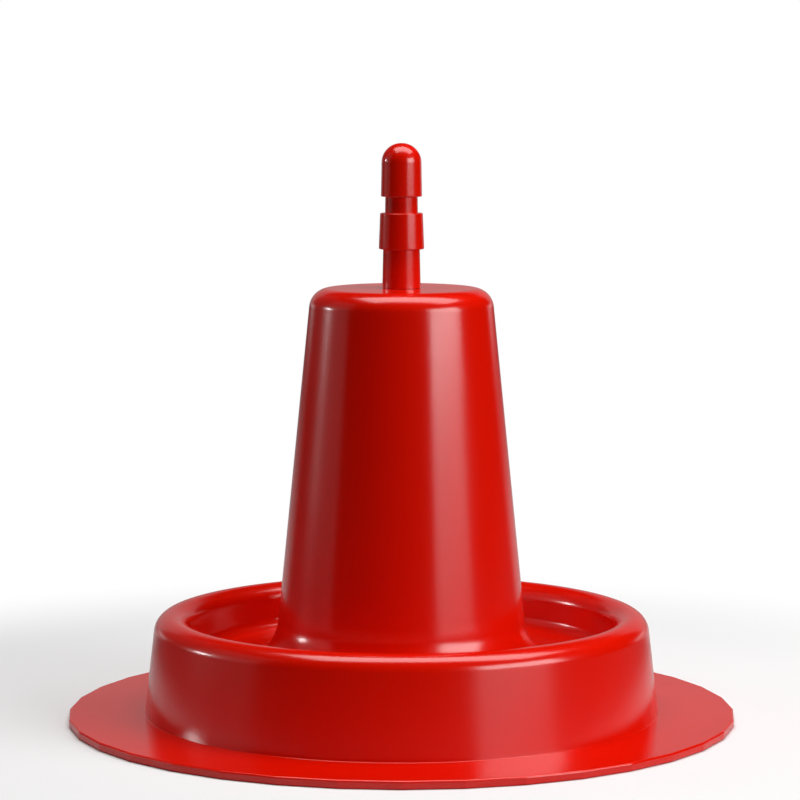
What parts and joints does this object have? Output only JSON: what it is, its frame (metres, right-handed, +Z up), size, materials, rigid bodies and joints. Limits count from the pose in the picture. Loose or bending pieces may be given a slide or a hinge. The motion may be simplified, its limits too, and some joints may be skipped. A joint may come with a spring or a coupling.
{
  "type": "cone stand",
  "caption": "Moulded floor stand: a wide faceted flange, a rounded ring wall round a trough, and a tapered hollow cone topped by a stepped plug.",
  "frame": {"origin": "centre of the flange's underside, on the floor", "axes": "+Z up along the cone's axis, +X to the right in the picture and -Y towards its camera; +X and +Y each point at a corner of the flange"},
  "size_m": [0.312, 0.312, 0.2691],
  "materials": {
    "red_plastic": "glossy moulded, with a faint grain",
    "brass": "turned",
    "zinc_steel": "zinc plated"
  },
  "bodies": {
    "root": {"cone_top": "red_plastic", "cone_wall": "red_plastic", "cone_root": "red_plastic", "trough_floor": "red_plastic", "ring_inner_wall": "red_plastic", "ring_outer_wall": "red_plastic", "flange": "red_plastic", "top_plug": "red_plastic", "plug_insert": "brass", "fixing_bolt": "zinc_steel", "spring_washer": "zinc_steel", "wide_washer": "zinc_steel"}
  },
  "joints": []
}
